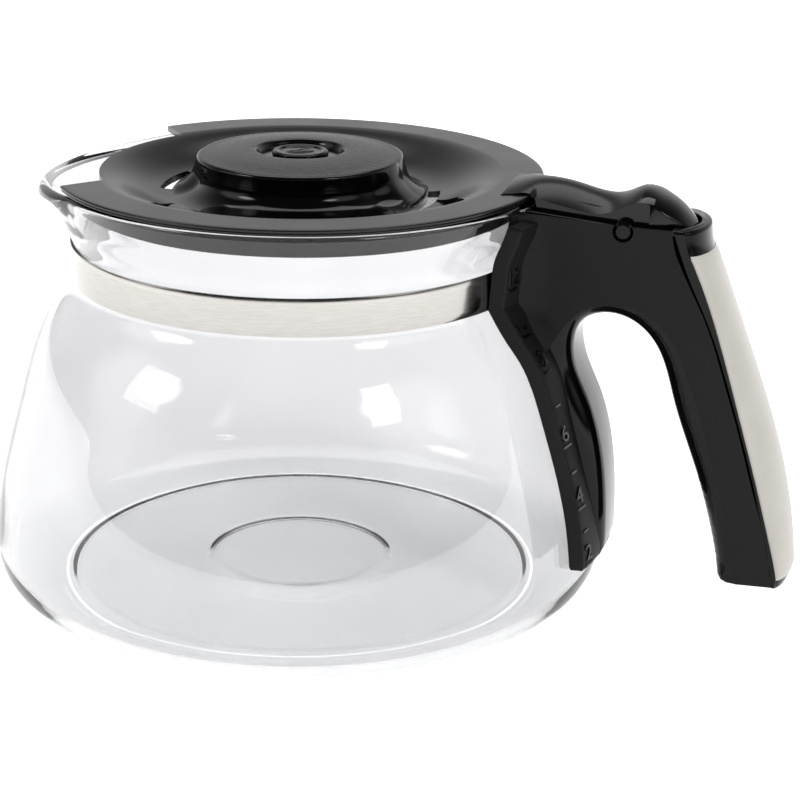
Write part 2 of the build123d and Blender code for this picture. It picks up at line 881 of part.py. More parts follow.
# ---- hinge pin ----------------------------------------------------------
with BuildPart() as hinge_pin:
    with BuildSketch(across(pin_length / 2)):
        with Locations((pin_x, pin_z)):
            Circle(pin_r)
    extrude(amount=pin_length)
    pin_ends = hinge_pin.edges().group_by(Axis.Y)[0] + hinge_pin.edges().group_by(Axis.Y)[-1]
    chamfer(pin_ends, pin_chamfer)
export(hinge_pin, "hinge_pin")
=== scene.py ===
import json
from math import atan2, cos, degrees, pi, radians, sin, sqrt

import bmesh
import bpy
import numpy as np
from mathutils import Matrix, Vector


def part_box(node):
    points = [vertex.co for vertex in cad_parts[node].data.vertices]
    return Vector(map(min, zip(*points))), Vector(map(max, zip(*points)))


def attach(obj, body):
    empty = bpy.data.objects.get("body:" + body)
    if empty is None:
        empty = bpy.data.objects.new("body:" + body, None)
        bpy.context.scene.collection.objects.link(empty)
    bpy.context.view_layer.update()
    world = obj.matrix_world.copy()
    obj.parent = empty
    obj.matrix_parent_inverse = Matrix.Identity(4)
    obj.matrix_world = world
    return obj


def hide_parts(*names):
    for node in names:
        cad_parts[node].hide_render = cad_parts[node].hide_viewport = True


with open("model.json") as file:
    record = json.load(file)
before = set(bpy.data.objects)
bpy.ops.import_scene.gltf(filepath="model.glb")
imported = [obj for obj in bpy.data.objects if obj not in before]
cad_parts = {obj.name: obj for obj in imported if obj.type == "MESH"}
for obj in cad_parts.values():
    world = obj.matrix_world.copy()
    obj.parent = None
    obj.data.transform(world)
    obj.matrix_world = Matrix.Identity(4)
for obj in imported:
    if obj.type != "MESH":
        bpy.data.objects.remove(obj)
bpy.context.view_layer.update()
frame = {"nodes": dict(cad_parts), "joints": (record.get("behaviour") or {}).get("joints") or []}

# Shapes are worked out in millimetres in the row frame and scaled to metres in build().
MM = 0.001


# ---- sizes read from the frame ----
def node_box(node):
    """Lowest and highest corner of a CAD node, in millimetres."""
    low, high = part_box(node)
    return low / MM, high / MM


glass_high = node_box("glass_jug")[1]
band_low, band_high = node_box("neck_band")
lid_high = node_box("lid_disc")[1]
shell_low, shell_high = node_box("handle_shell")
spine_high = node_box("handle_spine")[1]
inlay_low = node_box("handle_inlay")[0]
lever_low, lever_high = node_box("thumb_lever")
knob_high = node_box("lid_knob")[1]
badge_low, badge_high = node_box("knob_badge")
hinge = next(j for j in frame["joints"] if j["name"] == "lid_hinge")

body_r = glass_high.x
rim_z = glass_high.z
lid_r = lid_high.y
lid_z = lid_high.z
handle_half = spine_high.y
inlay_half = 11.6
lever_wing_half = lever_high.y
pin_x = hinge["pos_m"][0] / MM
pin_z = hinge["pos_m"][2] / MM

# Sizes that a box doesn't give, the same as in the part's source.
knob_r = 25.5
wall = 2.0
neck_r = 56.2
side_stations = [(body_r, 12.5), (75.7, 27.5), (69.7, 50.9), (59.7, 74.2), (neck_r, 80.2)]
flange_gap = 0.2
flange_thickness = 3.4
lever_half = 9.0
lid_floor_z = 100.5
lid_thickness = 1.5
pocket_r = 49.3
spout_offset = 18.0
spout_r = 47.5


# ---- curves ----
def spline(points, start=None, end=None, per_span=8):
    """Points along a C2 cubic through the given points, with optional end directions."""
    p = np.array(points, float)
    h = np.linalg.norm(np.diff(p, axis=0), axis=1)
    n = len(p)
    a = np.zeros((n, n))
    b = np.zeros(p.shape)
    for row, side, tangent in ((0, 0, start), (n - 1, n - 2, end)):
        a[row, row] = 1.0
        if tangent is not None:
            b[row] = np.array(tangent, float) / np.linalg.norm(tangent)
        else:
            a[row, row] = 2.0
            a[row, 1 if row == 0 else n - 2] = 1.0
            b[row] = 3 * (p[side + 1] - p[side]) / h[side]
    for i in range(1, n - 1):
        a[i, i - 1] = 1 / h[i - 1]
        a[i, i] = 2 * (1 / h[i - 1] + 1 / h[i])
        a[i, i + 1] = 1 / h[i]
        b[i] = 3 * ((p[i] - p[i - 1]) / h[i - 1] ** 2 + (p[i + 1] - p[i]) / h[i] ** 2)
    m = np.linalg.solve(a, b)
    out = []
    for i in range(n - 1):
        for k in range(per_span):
            t = k / per_span
            out.append(
                (2 * t**3 - 3 * t**2 + 1) * p[i]
                + (t**3 - 2 * t**2 + t) * h[i] * m[i]
                + (3 * t**2 - 2 * t**3) * p[i + 1]
                + (t**3 - t**2) * h[i] * m[i + 1]
            )
    out.append(p[-1])
    return [tuple(q) for q in out]


def ramp(x, low, high):
    """0 below low, 1 above high, smooth between."""
    t = min(max((x - low) / (high - low), 0.0), 1.0)
    return t * t * (3 - 2 * t)


def table(points):
    """A function that reads smoothly along the given (x, value) points."""
    xs = [p[0] for p in points]
    curve = spline(points, per_span=12)
    return lambda x: float(np.interp(min(max(x, xs[0]), xs[-1]), *zip(*curve)))


def tangents(p):
    """Unit directions along an open line of points."""
    t = np.gradient(p, axis=0)
    return t / np.linalg.norm(t, axis=1)[:, None]


def normals_2d(outline):
    """Unit normals of a closed outline, pointing inwards when it runs anticlockwise."""
    p = np.array(outline, float)
    t = np.roll(p, -1, axis=0) - np.roll(p, 1, axis=0)
    t /= np.linalg.norm(t, axis=1)[:, None]
    return np.stack([-t[:, 1], t[:, 0]], axis=1)


def signed_area(outline):
    x, z = np.array(outline, float).T
    return 0.5 * float(np.sum(x * np.roll(z, -1) - np.roll(x, -1) * z))


def resample(outline, spacing):
    """The closed outline with points no further apart than spacing."""
    out = []
    for a, b in zip(outline, outline[1:] + outline[:1]):
        a, b = np.array(a, float), np.array(b, float)
        steps = max(1, int(np.linalg.norm(b - a) / spacing))
        out += [tuple(a + (b - a) * k / steps) for k in range(steps)]
    return out


# ---- meshes ----
def new_object(name, data):
    obj = bpy.data.objects.new(name, data)
    bpy.context.scene.collection.objects.link(obj)
    return obj


def build(name, points, faces, materials=(), smooth=32):
    """A mesh object from millimetre points, smooth apart from edges sharper than the angle."""
    mesh = bpy.data.meshes.new(name)
    mesh.from_pydata([tuple(c * MM for c in p) for p in points], [], faces)
    mesh.validate()
    mesh.update()
    obj = new_object(name, mesh)
    for material in materials:
        mesh.materials.append(material)
    soften(obj, smooth)
    return obj


def closed(name, points, faces, material, angle):
    """A mesh object with its faces turned outwards."""
    obj = build(name, points, faces, [material])
    tidy_normals(obj)
    soften(obj, angle)
    return obj


def coat(obj, *materials):
    """Gives the object just these materials."""
    obj.data.materials.clear()
    for material in materials:
        obj.data.materials.append(material)


def soften(obj, angle=32):
    obj.data.shade_smooth()
    obj.data.set_sharp_from_angle(angle=radians(angle))


def loop_faces(rows, columns, wrap_rows=False, first=0):
    """Quads over rows of points, where each row is a closed loop."""
    faces = []
    for i in range(rows if wrap_rows else rows - 1):
        this, other = first + i * columns, first + (i + 1) % rows * columns
        for j in range(columns):
            k = (j + 1) % columns
            faces.append((this + j, this + k, other + k, other + j))
    return faces


def capped(rows, columns):
    """Faces of a closed tube of rows with a flat cap at each end."""
    faces = loop_faces(rows, columns)
    faces.append(tuple(range(columns)))
    faces.append(tuple(range((rows - 1) * columns, rows * columns))[::-1])
    return faces


def annulus(outer, inner, low, high):
    """A ring-shaped solid between two closed XY outlines with the same number of points."""
    points = []
    for (xo, yo), (xi, yi) in zip(outer, inner):
        points += [(xo, yo, low), (xo, yo, high), (xi, yi, high), (xi, yi, low)]
    return points, loop_faces(len(outer), 4, wrap_rows=True)


def revolve(profile_at, columns):
    """Points and faces of a closed solid about Z whose section may change with the angle."""
    sections = [profile_at(2 * pi * j / columns) for j in range(columns)]
    rows = len(sections[0]) - 2
    points = []
    for i in range(1, rows + 1):
        for j in range(columns):
            a = 2 * pi * j / columns
            r, z = sections[j][i]
            points.append((r * cos(a), r * sin(a), z))
    faces = loop_faces(rows, columns)
    low, high = len(points), len(points) + 1
    points += [(0, 0, sections[0][0][1]), (0, 0, sections[0][-1][1])]
    last = (rows - 1) * columns
    for j in range(columns):
        k = (j + 1) % columns
        faces.append((low, k, j))
        faces.append((high, last + j, last + k))
    return points, faces


def slab(outline, half_width, rounding, steps=6):
    """A solid across Y from an XZ outline. rounding(x, z) gives the size of the rounded edge at
    each point of the outline."""
    if signed_area(outline) < 0:
        outline = outline[::-1]
    inward = normals_2d(outline)
    p = np.array(outline, float)
    n = len(p)
    sizes = np.array([rounding(*q) for q in p])
    rings = []
    for side in (-1, 1):
        ring_range = range(steps + 1) if side == 1 else range(steps, -1, -1)
        for k in ring_range:
            a = pi / 2 * k / steps
            depth = sizes * (1 - cos(a))
            y = side * (half_width - sizes * (1 - sin(a)))
            q = p + inward * depth[:, None]
            rings.append(np.stack([q[:, 0], y, q[:, 1]], axis=1))
    points = [tuple(v) for v in np.concatenate(rings)]
    faces = loop_faces(len(rings), n)
    faces.append(tuple(range(n))[::-1])
    faces.append(tuple(range((len(rings) - 1) * n, len(rings) * n)))
    return points, faces


def merged(*solids):
    """Several point and face lists as one."""
    points, faces = [], []
    for p, f in solids:
        base = len(points)
        points += p
        faces += [tuple(i + base for i in face) for face in f]
    return points, faces


def prism(outline, low, high, axis="Z"):
    """A plain prism for cutting, along Z from an XY outline or along Y from an XZ one."""
    n = len(outline)
    if axis == "Z":
        points = [(x, y, w) for w in (low, high) for x, y in outline]
    else:
        points = [(x, w, z) for w in (low, high) for x, z in outline]
    faces = [(i, (i + 1) % n, n + (i + 1) % n, n + i) for i in range(n)]
    faces += [tuple(range(n))[::-1], tuple(range(n, 2 * n))]
    return points, faces


def polar(r, angle):
    """A point from its radius and its angle in degrees."""
    return (r * cos(radians(angle)), r * sin(radians(angle)))


def arc(cx, cz, r, angles):
    """Points round a centre, at these angles in degrees."""
    return [(cx + x, cz + z) for x, z in (polar(r, a) for a in angles)]


def circle(cx, cz, r, count=96):
    return arc(cx, cz, r, np.arange(count) * 360 / count)


def pin_hole(r, half_width):
    """A round bar along the hinge pin, for cutting."""
    return prism(circle(pin_x, pin_z, r), -half_width, half_width, "Y")


def tidy_normals(obj):
    """Turns every face outwards."""
    bm = bmesh.new()
    bm.from_mesh(obj.data)
    bmesh.ops.recalc_face_normals(bm, faces=bm.faces)
    bm.to_mesh(obj.data)
    bm.free()


def cut(obj, cutters, operation="DIFFERENCE"):
    """Cuts the solids out of obj and leaves a plain mesh."""
    tidy_normals(obj)
    for number, solid in enumerate(cutters):
        tool = build(f"{obj.name}_cutter_{number}", *solid)
        tidy_normals(tool)
        mod = obj.modifiers.new("cut", "BOOLEAN")
        mod.operation = operation
        mod.solver = "EXACT"
        mod.object = tool
        dg = bpy.context.evaluated_depsgraph_get()
        mesh = bpy.data.meshes.new_from_object(obj.evaluated_get(dg))
        obj.modifiers.clear()
        old = obj.data
        obj.data = mesh
        mesh.name = obj.name
        bpy.data.meshes.remove(old)
        tool_mesh = tool.data
        bpy.data.objects.remove(tool)
        bpy.data.meshes.remove(tool_mesh)
    soften(obj)


# ---- materials ----
def new_material(name):
    material = bpy.data.materials.new(name)
    material.use_nodes = True
    nodes = material.node_tree.nodes
    return material, nodes, material.node_tree.links, nodes["Principled BSDF"]


def set_inputs(node, **values):
    """Sets a node's inputs, named with _ for each space."""
    for key, value in values.items():
        node.inputs[key.replace("_", " ")].default_value = value
    return node


def add(nodes, kind, **values):
    """A new shader node with these inputs."""
    return set_inputs(nodes.new("ShaderNode" + kind), **values)


def noise(nodes, links, scale, detail=3.0, stretch=(1, 1, 1)):
    """A noise value in object space, in waves per metre."""
    coordinates = add(nodes, "TexCoord")
    mapping = add(nodes, "Mapping", Scale=stretch)
    links.new(coordinates.outputs["Object"], mapping.inputs["Vector"])
    texture = add(nodes, "TexNoise", Scale=scale, Detail=detail)
    links.new(mapping.outputs["Vector"], texture.inputs["Vector"])
    return texture.outputs["Fac"]


def spread(nodes, links, value, low, high):
    """The noise value spread between two numbers."""
    node = add(nodes, "MapRange", From_Min=0.3, From_Max=0.7, To_Min=low, To_Max=high)
    links.new(value, node.inputs["Value"])
    return node.outputs["Result"]


def tint(nodes, links, value, dark, light):
    """The noise value as a colour between two."""
    node = add(nodes, "ValToRGB")
    node.color_ramp.elements[0].position = 0.3
    node.color_ramp.elements[0].color = (*dark, 1)
    node.color_ramp.elements[1].position = 0.7
    node.color_ramp.elements[1].color = (*light, 1)
    links.new(value, node.inputs["Fac"])
    return node.outputs["Color"]


def bump(nodes, links, value, height_mm):
    """A normal from the noise value as a surface of this height."""
    node = add(nodes, "Bump", Distance=height_mm * MM)
    links.new(value, node.inputs["Height"])
    return node.outputs["Normal"]


def plastic(name, dark, light, roughness, grain_scale, grain_mm, specular=0.3, specks=60):
    """Moulded plastic: a faint colour drift, uneven gloss and a surface grain."""
    material, nodes, links, shader = new_material(name)
    drift = noise(nodes, links, specks, 4)
    grain = noise(nodes, links, grain_scale, 2)
    links.new(tint(nodes, links, drift, dark, light), shader.inputs["Base Color"])
    links.new(spread(nodes, links, drift, *roughness), shader.inputs["Roughness"])
    links.new(bump(nodes, links, grain, grain_mm), shader.inputs["Normal"])
    set_inputs(shader, IOR=1.5, Specular_IOR_Level=specular)
    return material


def metal(name, dark, light, roughness, stretch, grain_scale, grain_mm):
    """Polished metal with fine streaks along the longer waves of the noise."""
    material, nodes, links, shader = new_material(name)
    streaks = noise(nodes, links, grain_scale, 4, stretch)
    links.new(tint(nodes, links, streaks, dark, light), shader.inputs["Base Color"])
    links.new(spread(nodes, links, streaks, *roughness), shader.inputs["Roughness"])
    links.new(bump(nodes, links, streaks, grain_mm), shader.inputs["Normal"])
    set_inputs(shader, Metallic=1.0)
    return material


def glass_material():
    """Blown glass: clear but grey-tinted, very faintly uneven, and letting light through to the floor.
    The grey tint is painted shade that darkens what is seen through the jug.
    """
    material, nodes, links, shader = new_material("blown_glass")
    waves = noise(nodes, links, 14, 2, (1, 1, 0.6))
    # the grey glass colour is painted shade, darkening the floor seen through the jug
    colour = tint(nodes, links, waves, (0.73, 0.73, 0.74), (0.79, 0.79, 0.795))
    links.new(colour, shader.inputs["Base Color"])
    links.new(spread(nodes, links, waves, 0.0, 0.012), shader.inputs["Roughness"])
    set_inputs(shader, Transmission_Weight=1.0, IOR=1.47)
    path = add(nodes, "LightPath")
    clear = add(nodes, "BsdfTransparent", Color=(0.93, 0.94, 0.94, 1))
    mix = add(nodes, "MixShader")
    links.new(path.outputs["Is Shadow Ray"], mix.inputs[0])
    links.new(shader.outputs["BSDF"], mix.inputs[1])
    links.new(clear.outputs["BSDF"], mix.inputs[2])
    links.new(mix.outputs["Shader"], nodes["Material Output"].inputs["Surface"])
    return material


jet = (0.0015, 0.0015, 0.0016)
jet_worn = (0.0025, 0.0025, 0.0026)
coal = (0.005, 0.005, 0.0052)
coal_worn = (0.007, 0.007, 0.0072)
glass = glass_material()
band_steel = metal(
    "band_steel", (0.45, 0.435, 0.41), (0.51, 0.495, 0.47), (0.09, 0.16), (1, 1, 14), 260, 0.002
)
screw_steel = metal(
    "screw_steel", (0.55, 0.54, 0.52), (0.72, 0.71, 0.69), (0.22, 0.36), (1, 1, 1), 900, 0.01
)
matte_black = plastic("matte_black", coal, coal_worn, (0.50, 0.58), 5200, 0.012, 0.2)
gloss_black = plastic("gloss_black", jet, jet_worn, (0.07, 0.12), 700, 0.001, 0.2)
knob_black = plastic("knob_black", jet, jet_worn, (0.08, 0.12), 700, 0.001, 0.3)
collar_black = plastic("collar_black", jet, (0.003, 0.003, 0.003), (0.30, 0.40), 2000, 0.003, 0.1)
satin_black = plastic("satin_black", coal, coal_worn, (0.24, 0.31), 3000, 0.004)
lid_black = plastic(
    "lid_black", (0.004, 0.004, 0.0042), (0.006, 0.006, 0.0062), (0.20, 0.27), 2400, 0.003, 0.4
)
grained_black = plastic(
    "grained_black", (0.002, 0.002, 0.002), (0.06, 0.06, 0.06), (0.28, 0.42), 1500, 0.2, 0.4, 1500
)
cream = plastic(
    "cream_inlay", (0.52, 0.50, 0.455), (0.565, 0.545, 0.505), (0.30, 0.38), 3000, 0.003
)


def finish_piece(obj, body, slot, *nodes):
    """Rides the piece on its body and lets it stand for CAD nodes."""
    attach(obj, body)
    if nodes:
        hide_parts(*nodes)


# ---- glass jug ----
neck_top_z = 89.5
neck_wall = neck_r - wall
rim_r = 59.5
rim_section = [
    (neck_r, neck_top_z), (57.2, 93.5), (58.6, 97.5), (59.3, 100.0), (rim_r, 102.0),
    (rim_r, 103.3), (59.2, 104.0), (58.5, rim_z), (57.8, 104.1), (57.6, 103.2), (57.4, 100.5),
    (55.7, 95.4), (neck_wall, neck_top_z),
]
lip_section = [
    (neck_r, neck_top_z), (57.6, 93.0), (60.4, 98.2), (63.0, 100.2), (64.4, 99.4), (65.3, 99.2),
    (65.5, 100.0), (64.9, 101.6), (63.2, 102.5), (61.4, 101.9), (58.6, 99.2), (55.6, 93.8),
    (neck_wall, neck_top_z),
]


def side_wall(offset, per_span=14):
    """The jug's side from its widest ring up to the neck, moved outwards by offset."""
    line = np.array(spline(side_stations, (0, 1), (0, 1), per_span))
    return [(r + offset * tz, z - offset * tr) for (r, z), (tr, tz) in zip(line, tangents(line))]


def lip_share(angle):
    """How far the section at this angle has turned from plain rim to pouring lip."""
    psi = angle - pi
    reach = spout_r**2 - (spout_offset * sin(psi)) ** 2
    share = (spout_offset * cos(psi) + sqrt(reach) - rim_r) / (spout_offset + spout_r - rim_r)
    soft = 0.06
    return 0.5 * (share + sqrt(share * share + soft * soft)) - 0.5 * soft * soft


def level_spans(*spans):
    """Curves that start and end level, each with its points and its fineness, end to end."""
    return [q for points, fine in spans for q in spline(points, (1, 0), (1, 0), fine)]


def make_glass():
    """The blown jug: standing ring, punt and heel, then the sides, the neck, the rim and the lip."""
    outer_base = level_spans(
        ([(0, 2.6), (12, 2.6), (19.5, 2.55)], 3),
        ([(20.6, 2.5), (22.6, 2.1), (24.2, 1.45), (26.4, 1.2)], 4),
        ([(30, 1.2), (42, 1.2), (54.5, 1.15)], 4),
        ([(55.8, 1.1), (57.4, 0.75), (58.6, 0.15), (59.6, 0.0)], 5),
    )
    heel = [(60.4, 0.0), (62.0, 0.15), (66.5, 0.95), (71.6, 2.6), (76.3, 6.9), (body_r, 12.5)]
    outer_base += spline(heel, (1, 0), (0, 1), 7)
    inner_base = level_spans(
        ([(0, 4.5), (12, 4.5), (18.5, 4.45)], 3),
        ([(20.0, 4.4), (22.6, 4.0), (25.0, 3.4), (28.0, 3.15)], 4),
        ([(32, 3.1), (42, 3.1), (53.5, 3.05)], 4),
        ([(55.0, 3.0), (57.2, 2.75), (59.4, 2.45), (61.6, 2.4)], 5),
    )
    inner_heel = [(63.4, 2.55), (67.0, 3.3), (70.8, 4.8), (74.4, 8.3), (body_r - wall, 12.5)]
    inner_base += spline(inner_heel, (1, 0.1), (0, 1), 7)
    outer_side = side_wall(0.0)[1:]
    inner_side = side_wall(-wall)[1:]
    neck_steps = [neck_top_z - 6.2, neck_top_z - 3.0]

    def section(angle):
        share = lip_share(angle)
        mixed = [
            (r0 + (r1 - r0) * share, z0 + (z1 - z0) * share)
            for (r0, z0), (r1, z1) in zip(rim_section, lip_section)
        ]
        rim = spline(mixed, (0, 1), (0, -1), 7)
        # blown walls are never quite even inside
        sway = 0.22 * sin(2 * angle + 0.6) + 0.12 * sin(5 * angle + 1.9)
        inner = [(r + sway * ramp(z, 12, 30) * ramp(-z, -82, -66), z) for r, z in inner_side]
        neck_out = [(neck_r, z) for z in neck_steps]
        neck_in = [(neck_wall, z) for z in neck_steps[::-1]]
        return outer_base + outer_side + neck_out + rim + neck_in + inner[::-1] + inner_base[::-1]

    points, faces = revolve(section, 324)
    finish_piece(closed("jug_glass", points, faces, glass, 60), "jug", "glass", "glass_jug")


# ---- neck band ----
def make_band():
    """A thin crowned strap round the neck with its ears bent out inside the handle."""
    ear_x, ear_y = band_high.x, 2.75
    mid_r = band_high.y - 0.25
    bend = 1.2
    start_angle = degrees(atan2(ear_y + bend, mid_r))
    path = [(ear_x, ear_y), (ear_x - 5, ear_y), (mid_r + bend, ear_y)]
    path += arc(mid_r + bend, ear_y + bend, bend, (240, 210))
    path += arc(0, 0, mid_r, np.linspace(start_angle, 360 - start_angle, 301))
    path += [(x, -y) for x, y in path[4::-1]]
    p = np.array(path)
    t = tangents(p)
    out = np.stack([t[:, 1], -t[:, 0]], axis=1)
    low, high = band_low.z, band_high.z
    edge = 0.35
    section = [
        (-0.25, low + 0.1), (-0.15, low), (0.1, low), (0.22, low + edge), (0.28, low + 1.6),
        (0.33, (low + high) / 2), (0.28, high - 1.6), (0.22, high - edge), (0.1, high),
        (-0.15, high), (-0.25, high - 0.1),
    ]
    points = [
        (q[0] + d * o[0], q[1] + d * o[1], z) for q, o in zip(p, out) for d, z in section
    ]
    strap = closed("neck_strap", points, capped(len(p), len(section)), band_steel, 40)
    finish_piece(strap, "jug", "band_steel", "neck_band")


# ---- handle ----
finger_gap = [
    (81.0, 19.4), (80.1, 37.0), (75.8, 54.6), (71.0, 68.0), (73.0, 76.0), (81.0, 78.3),
    (90.0, 72.6), (95.5, 58.8), (102.4, 40.0), (108.6, 17.6),
]
# Where the side panels end and the glossy back begins.
parting = [(122.9, 14.4), (116.8, 38.9), (108.7, 64.5), (103.0, 79.5), (97.6, 90.8), (93.9, 100.6)]
foot_z = 15.8
channel_half = 9.5
panel_proud = 0.25
panel_sink = 0.9
flare_half = 15.4
flare_length = 9.0
socket_r = 2.45
channel_floor = [(111.2, 15.0), (104.9, 41.0), (98.4, 60.2), (91.6, 75.0), (84.0, 80.6)]
channel_opening = [(84.0, 80.6), (60.6, 80.6), (60.6, 115.0), (110.0, 115.0), (116.0, 85.0)]
channel_opening += [(127.0, 50.0), (131.0, 15.0)]
ear_opening = [(58.5, -3.6), (70.5, -3.6), (70.5, 3.6), (58.5, 3.6)]
ear_room = 0.6
panel_front = [(80.0, 101.0), (58.0, 102.4), (50.0, 102.0), (50.0, 78.0), (57.0, 68.0), (62.5, 66.5)]
panel_inner = [
    (66.0, 69.9), (67.5, 72.6), (71.2, 77.8), (74.9, 80.4), (79.7, 81.5), (85.5, 81.1),
    (90.4, 79.0), (93.9, 75.6), (96.8, 70.9), (99.8, 64.1), (102.7, 56.2), (106.4, 44.2),
    (109.5, 34.2), (113.7, 14.2),
]
panel_outline = panel_front + spline(panel_inner, per_span=5) + spline(parting, per_span=10)
handle_top = [(80.0, 101.0), (58.9, 102.9)]


def shell_outline():
    """The handle's side view, and the part of it along the finger gap."""
    gap = spline(finger_gap, (0, 1), (0.2, -1), 10)
    back = spline(parting, per_span=10)
    outline = [(63.0, foot_z), (77.0, foot_z), (79.0, foot_z + 0.3)]
    outline += [(80.3, foot_z + 1.2), (80.9, foot_z + 2.4), *gap]
    outline += [(109.2, 15.7), (110.2, 14.7), (111.6, 14.2), (113.4, 14.0)]
    outline += back + handle_top
    outline += [(50.0, 102.9), (50.0, 70.0)]
    return resample(outline, 1.1), gap


def web_rounding(gap):
    """Broad rounding along the finger gap, a fine edge elsewhere."""
    line = np.array(gap)
    fine, broad = 0.45, 5.3

    def size(x, z):
        near = float(np.min(np.hypot(line[:, 0] - x, line[:, 1] - z)))
        share = 1 - ramp(near, 0.5, 4.5)
        foot = ramp(z, 12.5, 20.0)
        return fine + (broad - fine) * share * (0.35 + 0.65 * foot)

    return size


def envelope_profile(offset):
    """The jug's outside from the base up to the rim, moved out by the clearance."""
    strap_r, bead_r = neck_r + 0.8, rim_r + 0.4
    line = [(0.0, -5.0), (body_r + offset, -5.0), (body_r + offset, 11.0)]
    line += side_wall(offset)[:-4]
    return line + [(strap_r, 80.0), (strap_r, 91.0), (bead_r, 100.6), (bead_r, 110.0), (0.0, 110.0)]


def make_handle():
    """Glossy core of the handle: the leg, the web and the grip as one inverted U."""
    outline, gap = shell_outline()
    core = slab(outline, handle_half - panel_proud, web_rounding(gap), 8)
    handle = build("handle_moulding", *core)
    channel = channel_opening + spline(channel_floor, per_span=8)[:-1]
    cut(
        handle,
        [
            revolve(lambda a: envelope_profile(flange_gap), 360),
            prism(channel, -channel_half, channel_half, "Y"),
            pin_hole(socket_r, handle_half + 1),
            prism(ear_opening, band_low.z - ear_room, band_high.z + ear_room),
        ],
    )
    coat(handle, gloss_black)
    finish_piece(handle, "jug", "black_plastic", "handle_shell")


def panel_bulge(x, z):
    """How far the side panel stands out at a place: it flares where it runs onto the flange."""
    front = sqrt(flange_face(z) ** 2 - flare_half**2) - 1.0
    share = min(max((x - front) / flare_length, 0.0), 1.0)
    return handle_half + (flare_half - handle_half) * (1 - share) ** 2


def make_panels():
    """The matte panels laid on both sides of the handle: a finely divided sheet, cut to shape."""
    rows, fine_count, coarse_count = 50, 40, 20
    fine = 16.0
    back = spine_high.x + 2
    low, high = shell_low.z - 2, shell_high.z + 2
    for side, name in ((-1, "handle_panel_near"), (1, "handle_panel_far")):
        points = []
        for i in range(rows + 1):
            z = low + (high - low) * i / rows
            front = sqrt(flange_face(z) ** 2 - flare_half**2) - 4.0
            rest = back - front - fine
            xs = [front + fine * j / fine_count for j in range(fine_count + 1)]
            xs += [front + fine + rest * (j + 1) / coarse_count for j in range(coarse_count)]
            points += [(x, side * panel_bulge(x, z), z) for x in xs]
            points += [(x, side * (handle_half - panel_sink), z) for x in xs[::-1]]
        panel = build(name, points, capped(rows + 1, 2 * len(xs)))
        span = sorted((side * 5, side * 22))
        cut(panel, [prism(panel_outline, *span, "Y")], "INTERSECT")
        cut(panel, [pin_hole(socket_r, handle_half + 5)])
        coat(panel, matte_black)
        finish_piece(panel, "jug", "black_plastic")


def make_flange():
    """The strip that wraps the glass, carrying the cup scale."""
    side = [p for p in side_wall(0.0) if foot_z <= p[1] <= 74.0]
    corner_at = (neck_r + 0.5, 80.6)
    neck_line = [(neck_r + 0.6, 81.6), (neck_r + 0.9, 86.0), (57.7, 93.0), (59.2, 97.5), (60.2, 101.2)]
    centre = spline([side[0], *side[4:-3:5], side[-1], corner_at], (0, 1), None, 5)
    centre = np.array(centre + spline(neck_line, (0, 1)))
    half_at = table(
        [(15.8, 21.4), (28, 20.2), (40, 19.6), (56, 20.2), (70, 20.9), (80, 21.5), (101.2, 20.9)]
    )
    edge, fine = 0.4, 0.15
    points = []
    rows = len(centre)
    for i, ((r, z), (tr, tz)) in enumerate(zip(centre, tangents(centre))):
        inset = edge * 0.7 if i in (0, rows - 1) else 0.0
        half = half_at(z) - inset
        low, high = flange_gap + inset, flange_gap + flange_thickness - inset
        near_corner = arc(half - edge, high - edge, edge, np.linspace(0, 90, 5))
        far_corner = arc(-half + edge, high - edge, edge, np.linspace(90, 180, 5))
        across = [half - edge - 2 * (half - edge) * k / 24 for k in range(1, 24)]
        loop = near_corner + [(u, high) for u in across] + far_corner
        loop += [(-half, low + fine), (-half + fine, low)] + [(-u, low) for u in across]
        loop += [(half - fine, low), (half, low + fine)]
        for u, depth in loop:
            radius = r + depth * tz
            points.append((sqrt(max(radius**2 - u**2, 1)), u, z - depth * tr))
    flange = closed("handle_flange", points, capped(rows, len(loop)), matte_black, 30)
    finish_piece(flange, "jug", "black_plastic")


inlay_stations = [(127.3, 13.0), (125.4, 28.3), (121.8, 44.4), (112.7, 69.9), (102.8, 94.9)]
inlay_line = spline(inlay_stations, per_span=14)
inlay_proud = 0.5
# Depths of the grip's side panels and of the inlay's edges behind its middle line, by height.
grip_depth = table(
    [(13, 4.0), (25, 4.8), (39, 6.4), (53, 6.5), (65, 6.1), (80, 5.8), (91, 7.1), (101, 7.5)]
)
inlay_edge = table([
    (13.0, 2.6), (17.4, 3.0), (28.0, 4.4), (38.0, 5.3), (53.0, 5.5), (66.6, 4.7), (80.0, 3.9),
    (90.0, 4.0), (96.0, 4.5), (101.0, 5.0),
])
hood_line = [(102.4, 96.2), (102.1, 97.4), (101.9, 98.6), (101.7, 99.6)]
hood_line += [(101.65, 100.1), (101.6, 100.45), (101.6, 100.65), (101.6, 100.75)]


def back_depth(y, z):
    """How far the grip's rounded back lies in front of its middle line at a place across it."""
    share = min(abs(y) / inlay_half, 1.0)
    roundness = 0.92
    return inlay_edge(z) * (1 - sqrt(1 - roundness * share**2)) / (1 - sqrt(1 - roundness))


def strip(line, half_at, outer, inner, count=40, steps_at=()):
    """A solid that follows an XZ line in level rows, between two depths at each place across it."""
    points = []
    for i, (x, z) in enumerate(line):
        half = half_at(i)
        across = [half * cos(pi * k / count) for k in range(count + 1)]
        across = sorted(across + [y for y in steps_at if abs(y) < half], reverse=True)
        loop = [(y, outer(i, y, z)) for y in across] + [(y, inner(i, y, z)) for y in across[::-1]]
        points += [(x - d, y, z) for y, d in loop]
    return points, capped(len(line), len(loop))


